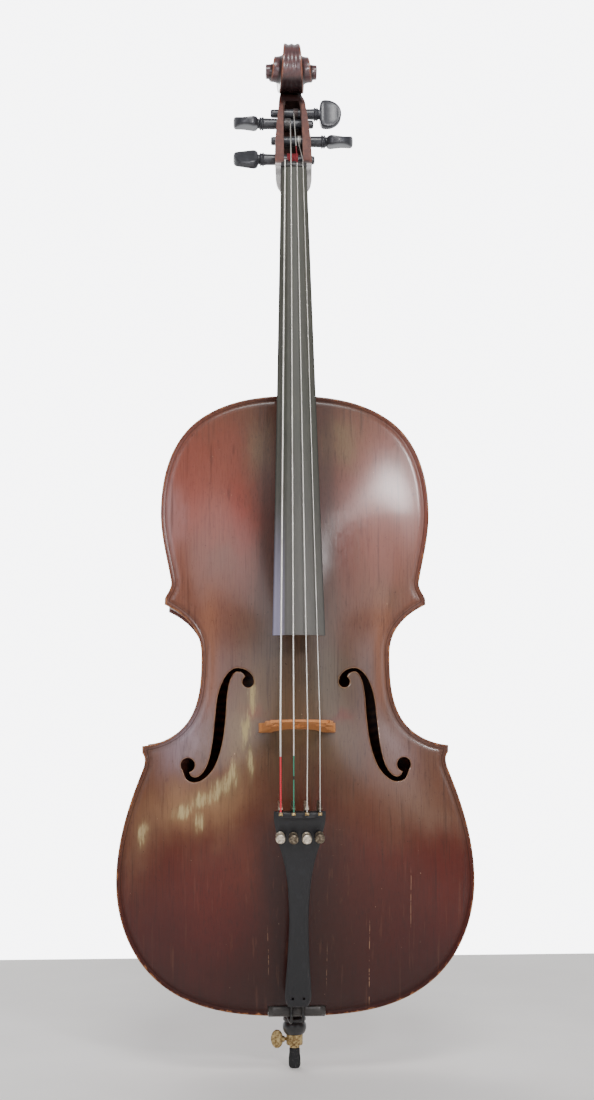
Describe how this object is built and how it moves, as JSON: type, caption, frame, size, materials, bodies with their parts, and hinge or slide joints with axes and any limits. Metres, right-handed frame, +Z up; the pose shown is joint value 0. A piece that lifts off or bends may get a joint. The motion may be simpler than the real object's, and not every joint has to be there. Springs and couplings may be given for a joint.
{
  "type": "cello",
  "caption": "Full-size cello with carved plates, ribs, neck and scroll, turning pegs, fine tuners, bridge, tailpiece and a sliding endpin.",
  "frame": {"origin": "centre of the flat under the rubber endpin tip, endpin pushed in", "axes": "+Z up the instrument from endpin to scroll, -Y out of the belly, +X to the treble side, as seen from the front"},
  "size_m": [0.4318, 0.2641, 1.3371],
  "materials": {
    "belly_varnish": "worn red-brown varnish on spruce",
    "maple_varnish": "red-brown varnish on maple",
    "neck_varnish": "brown varnish on maple, bare at the neck",
    "inner_spruce": "bare spruce and willow",
    "bridge_maple": "bare maple, aged tan",
    "board_ebony": "worn ebony",
    "trim_ebony": "ebony",
    "peg_ebony": "polished ebony",
    "plug_ebony": "turned ebony",
    "tail_black": "matt black",
    "string_steel": "wound strings with silk ends",
    "tuner_metal": "aged nickel plate",
    "ferrule_metal": "worn nickel plate",
    "rod_steel": "smooth",
    "tip_rubber": "matt",
    "loop_nylon": "smooth"
  },
  "bodies": {
    "root": {"back_plate": "maple_varnish", "bass_bar": "inner_spruce", "bridge": "bridge_maple", "corner_block_lower_bass": "inner_spruce", "corner_block_lower_treble": "inner_spruce", "corner_block_upper_bass": "inner_spruce", "corner_block_upper_treble": "inner_spruce", "end_block": "inner_spruce", "endpin_ferrule": "ferrule_metal", "endpin_plug": "plug_ebony", "fine_tuner_body_A": "tuner_metal", "fine_tuner_body_C": "tuner_metal", "fine_tuner_body_D": "tuner_metal", "fine_tuner_body_G": "tuner_metal", "fingerboard": "board_ebony", "lining_back_lower_bass": "inner_spruce", "lining_back_lower_treble": "inner_spruce", "lining_back_upper_bass": "inner_spruce", "lining_back_upper_treble": "inner_spruce", "lining_back_waist_bass": "inner_spruce", "lining_back_waist_treble": "inner_spruce", "lining_top_lower_bass": "inner_spruce", "lining_top_lower_treble": "inner_spruce", "lining_top_upper_bass": "inner_spruce", "lining_top_upper_treble": "inner_spruce", "lining_top_waist_bass": "inner_spruce", "lining_top_waist_treble": "inner_spruce", "neck": "neck_varnish", "neck_block": "inner_spruce", "nut": "trim_ebony", "rib_lower_bass": "maple_varnish", "rib_lower_treble": "maple_varnish", "rib_upper_bass": "maple_varnish", "rib_upper_treble": "maple_varnish", "rib_waist_bass": "maple_varnish", "rib_waist_treble": "maple_varnish", "saddle": "trim_ebony", "sound_post": "inner_spruce", "string_A": "string_steel", "string_C": "string_steel", "string_D": "string_steel", "string_G": "string_steel", "tail_loop": "loop_nylon", "tailpiece": "tail_black", "top_plate": "belly_varnish"},
    "peg_body_C": {"peg_C": "peg_ebony"},
    "peg_body_A": {"peg_A": "peg_ebony"},
    "peg_body_G": {"peg_G": "peg_ebony"},
    "peg_body_D": {"peg_D": "peg_ebony"},
    "tuner_screw_body_C": {"fine_tuner_screw_C": "tuner_metal"},
    "tuner_lever_body_C": {"fine_tuner_lever_C": "tuner_metal"},
    "tuner_screw_body_G": {"fine_tuner_screw_G": "tuner_metal"},
    "tuner_lever_body_G": {"fine_tuner_lever_G": "tuner_metal"},
    "tuner_screw_body_D": {"fine_tuner_screw_D": "tuner_metal"},
    "tuner_lever_body_D": {"fine_tuner_lever_D": "tuner_metal"},
    "tuner_screw_body_A": {"fine_tuner_screw_A": "tuner_metal"},
    "tuner_lever_body_A": {"fine_tuner_lever_A": "tuner_metal"},
    "endpin_body": {"endpin_rod": "rod_steel", "rubber_tip": "tip_rubber"},
    "thumb_screw_body": {"thumb_screw": "ferrule_metal"}
  },
  "joints": [
    {"name": "peg_turn_C", "type": "hinge", "parent": "root", "child": "peg_body_C", "pos_m": [0, -0.019, 1.156], "axis": [-1, 0, 0], "continuous": true},
    {"name": "peg_turn_A", "type": "hinge", "parent": "root", "child": "peg_body_A", "pos_m": [0, -0.0075, 1.1865], "axis": [1, 0, 0], "continuous": true},
    {"name": "peg_turn_G", "type": "hinge", "parent": "root", "child": "peg_body_G", "pos_m": [0, 0.003, 1.215], "axis": [-1, 0, 0], "continuous": true},
    {"name": "peg_turn_D", "type": "hinge", "parent": "root", "child": "peg_body_D", "pos_m": [0, 0.009, 1.232], "axis": [1, 0, 0], "continuous": true},
    {"name": "tuner_screw_turn_C", "type": "hinge", "parent": "root", "child": "tuner_screw_body_C", "pos_m": [-0.0225, -0.14356, 0.29378], "axis": [0, 0.9711, 0.2385], "range_deg": [0, 1800]},
    {"name": "tuner_lever_tilt_C", "type": "hinge", "parent": "root", "child": "tuner_lever_body_C", "pos_m": [-0.0225, -0.13942, 0.32723], "axis": [1, 0, 0], "range_deg": [0, 7.2]},
    {"name": "tuner_screw_turn_G", "type": "hinge", "parent": "root", "child": "tuner_screw_body_G", "pos_m": [-0.0076, -0.14356, 0.29378], "axis": [0, 0.9711, 0.2385], "range_deg": [0, 1800]},
    {"name": "tuner_lever_tilt_G", "type": "hinge", "parent": "root", "child": "tuner_lever_body_G", "pos_m": [-0.0076, -0.13942, 0.32723], "axis": [1, 0, 0], "range_deg": [0, 7.2]},
    {"name": "tuner_screw_turn_D", "type": "hinge", "parent": "root", "child": "tuner_screw_body_D", "pos_m": [0.0076, -0.14356, 0.29378], "axis": [0, 0.9711, 0.2385], "range_deg": [0, 1800]},
    {"name": "tuner_lever_tilt_D", "type": "hinge", "parent": "root", "child": "tuner_lever_body_D", "pos_m": [0.0076, -0.13942, 0.32723], "axis": [1, 0, 0], "range_deg": [0, 7.2]},
    {"name": "tuner_screw_turn_A", "type": "hinge", "parent": "root", "child": "tuner_screw_body_A", "pos_m": [0.0225, -0.14356, 0.29378], "axis": [0, 0.9711, 0.2385], "range_deg": [0, 1800]},
    {"name": "tuner_lever_tilt_A", "type": "hinge", "parent": "root", "child": "tuner_lever_body_A", "pos_m": [0.0225, -0.13942, 0.32723], "axis": [1, 0, 0], "range_deg": [0, 7.2]},
    {"name": "endpin_slide", "type": "slide", "parent": "root", "child": "endpin_body", "axis": [0, 0, -1], "range_m": [0, 0.33]},
    {"name": "thumb_screw_turn", "type": "hinge", "parent": "root", "child": "thumb_screw_body", "pos_m": [0, 0, 0.0345], "axis": [-1, 0, 0], "range_deg": [0, 720]}
  ],
  "couplings": [
    {"joint": "tuner_lever_tilt_C", "follows": "tuner_screw_turn_C", "ratio": 0.004},
    {"joint": "tuner_lever_tilt_G", "follows": "tuner_screw_turn_G", "ratio": 0.004},
    {"joint": "tuner_lever_tilt_D", "follows": "tuner_screw_turn_D", "ratio": 0.004},
    {"joint": "tuner_lever_tilt_A", "follows": "tuner_screw_turn_A", "ratio": 0.004}
  ]
}
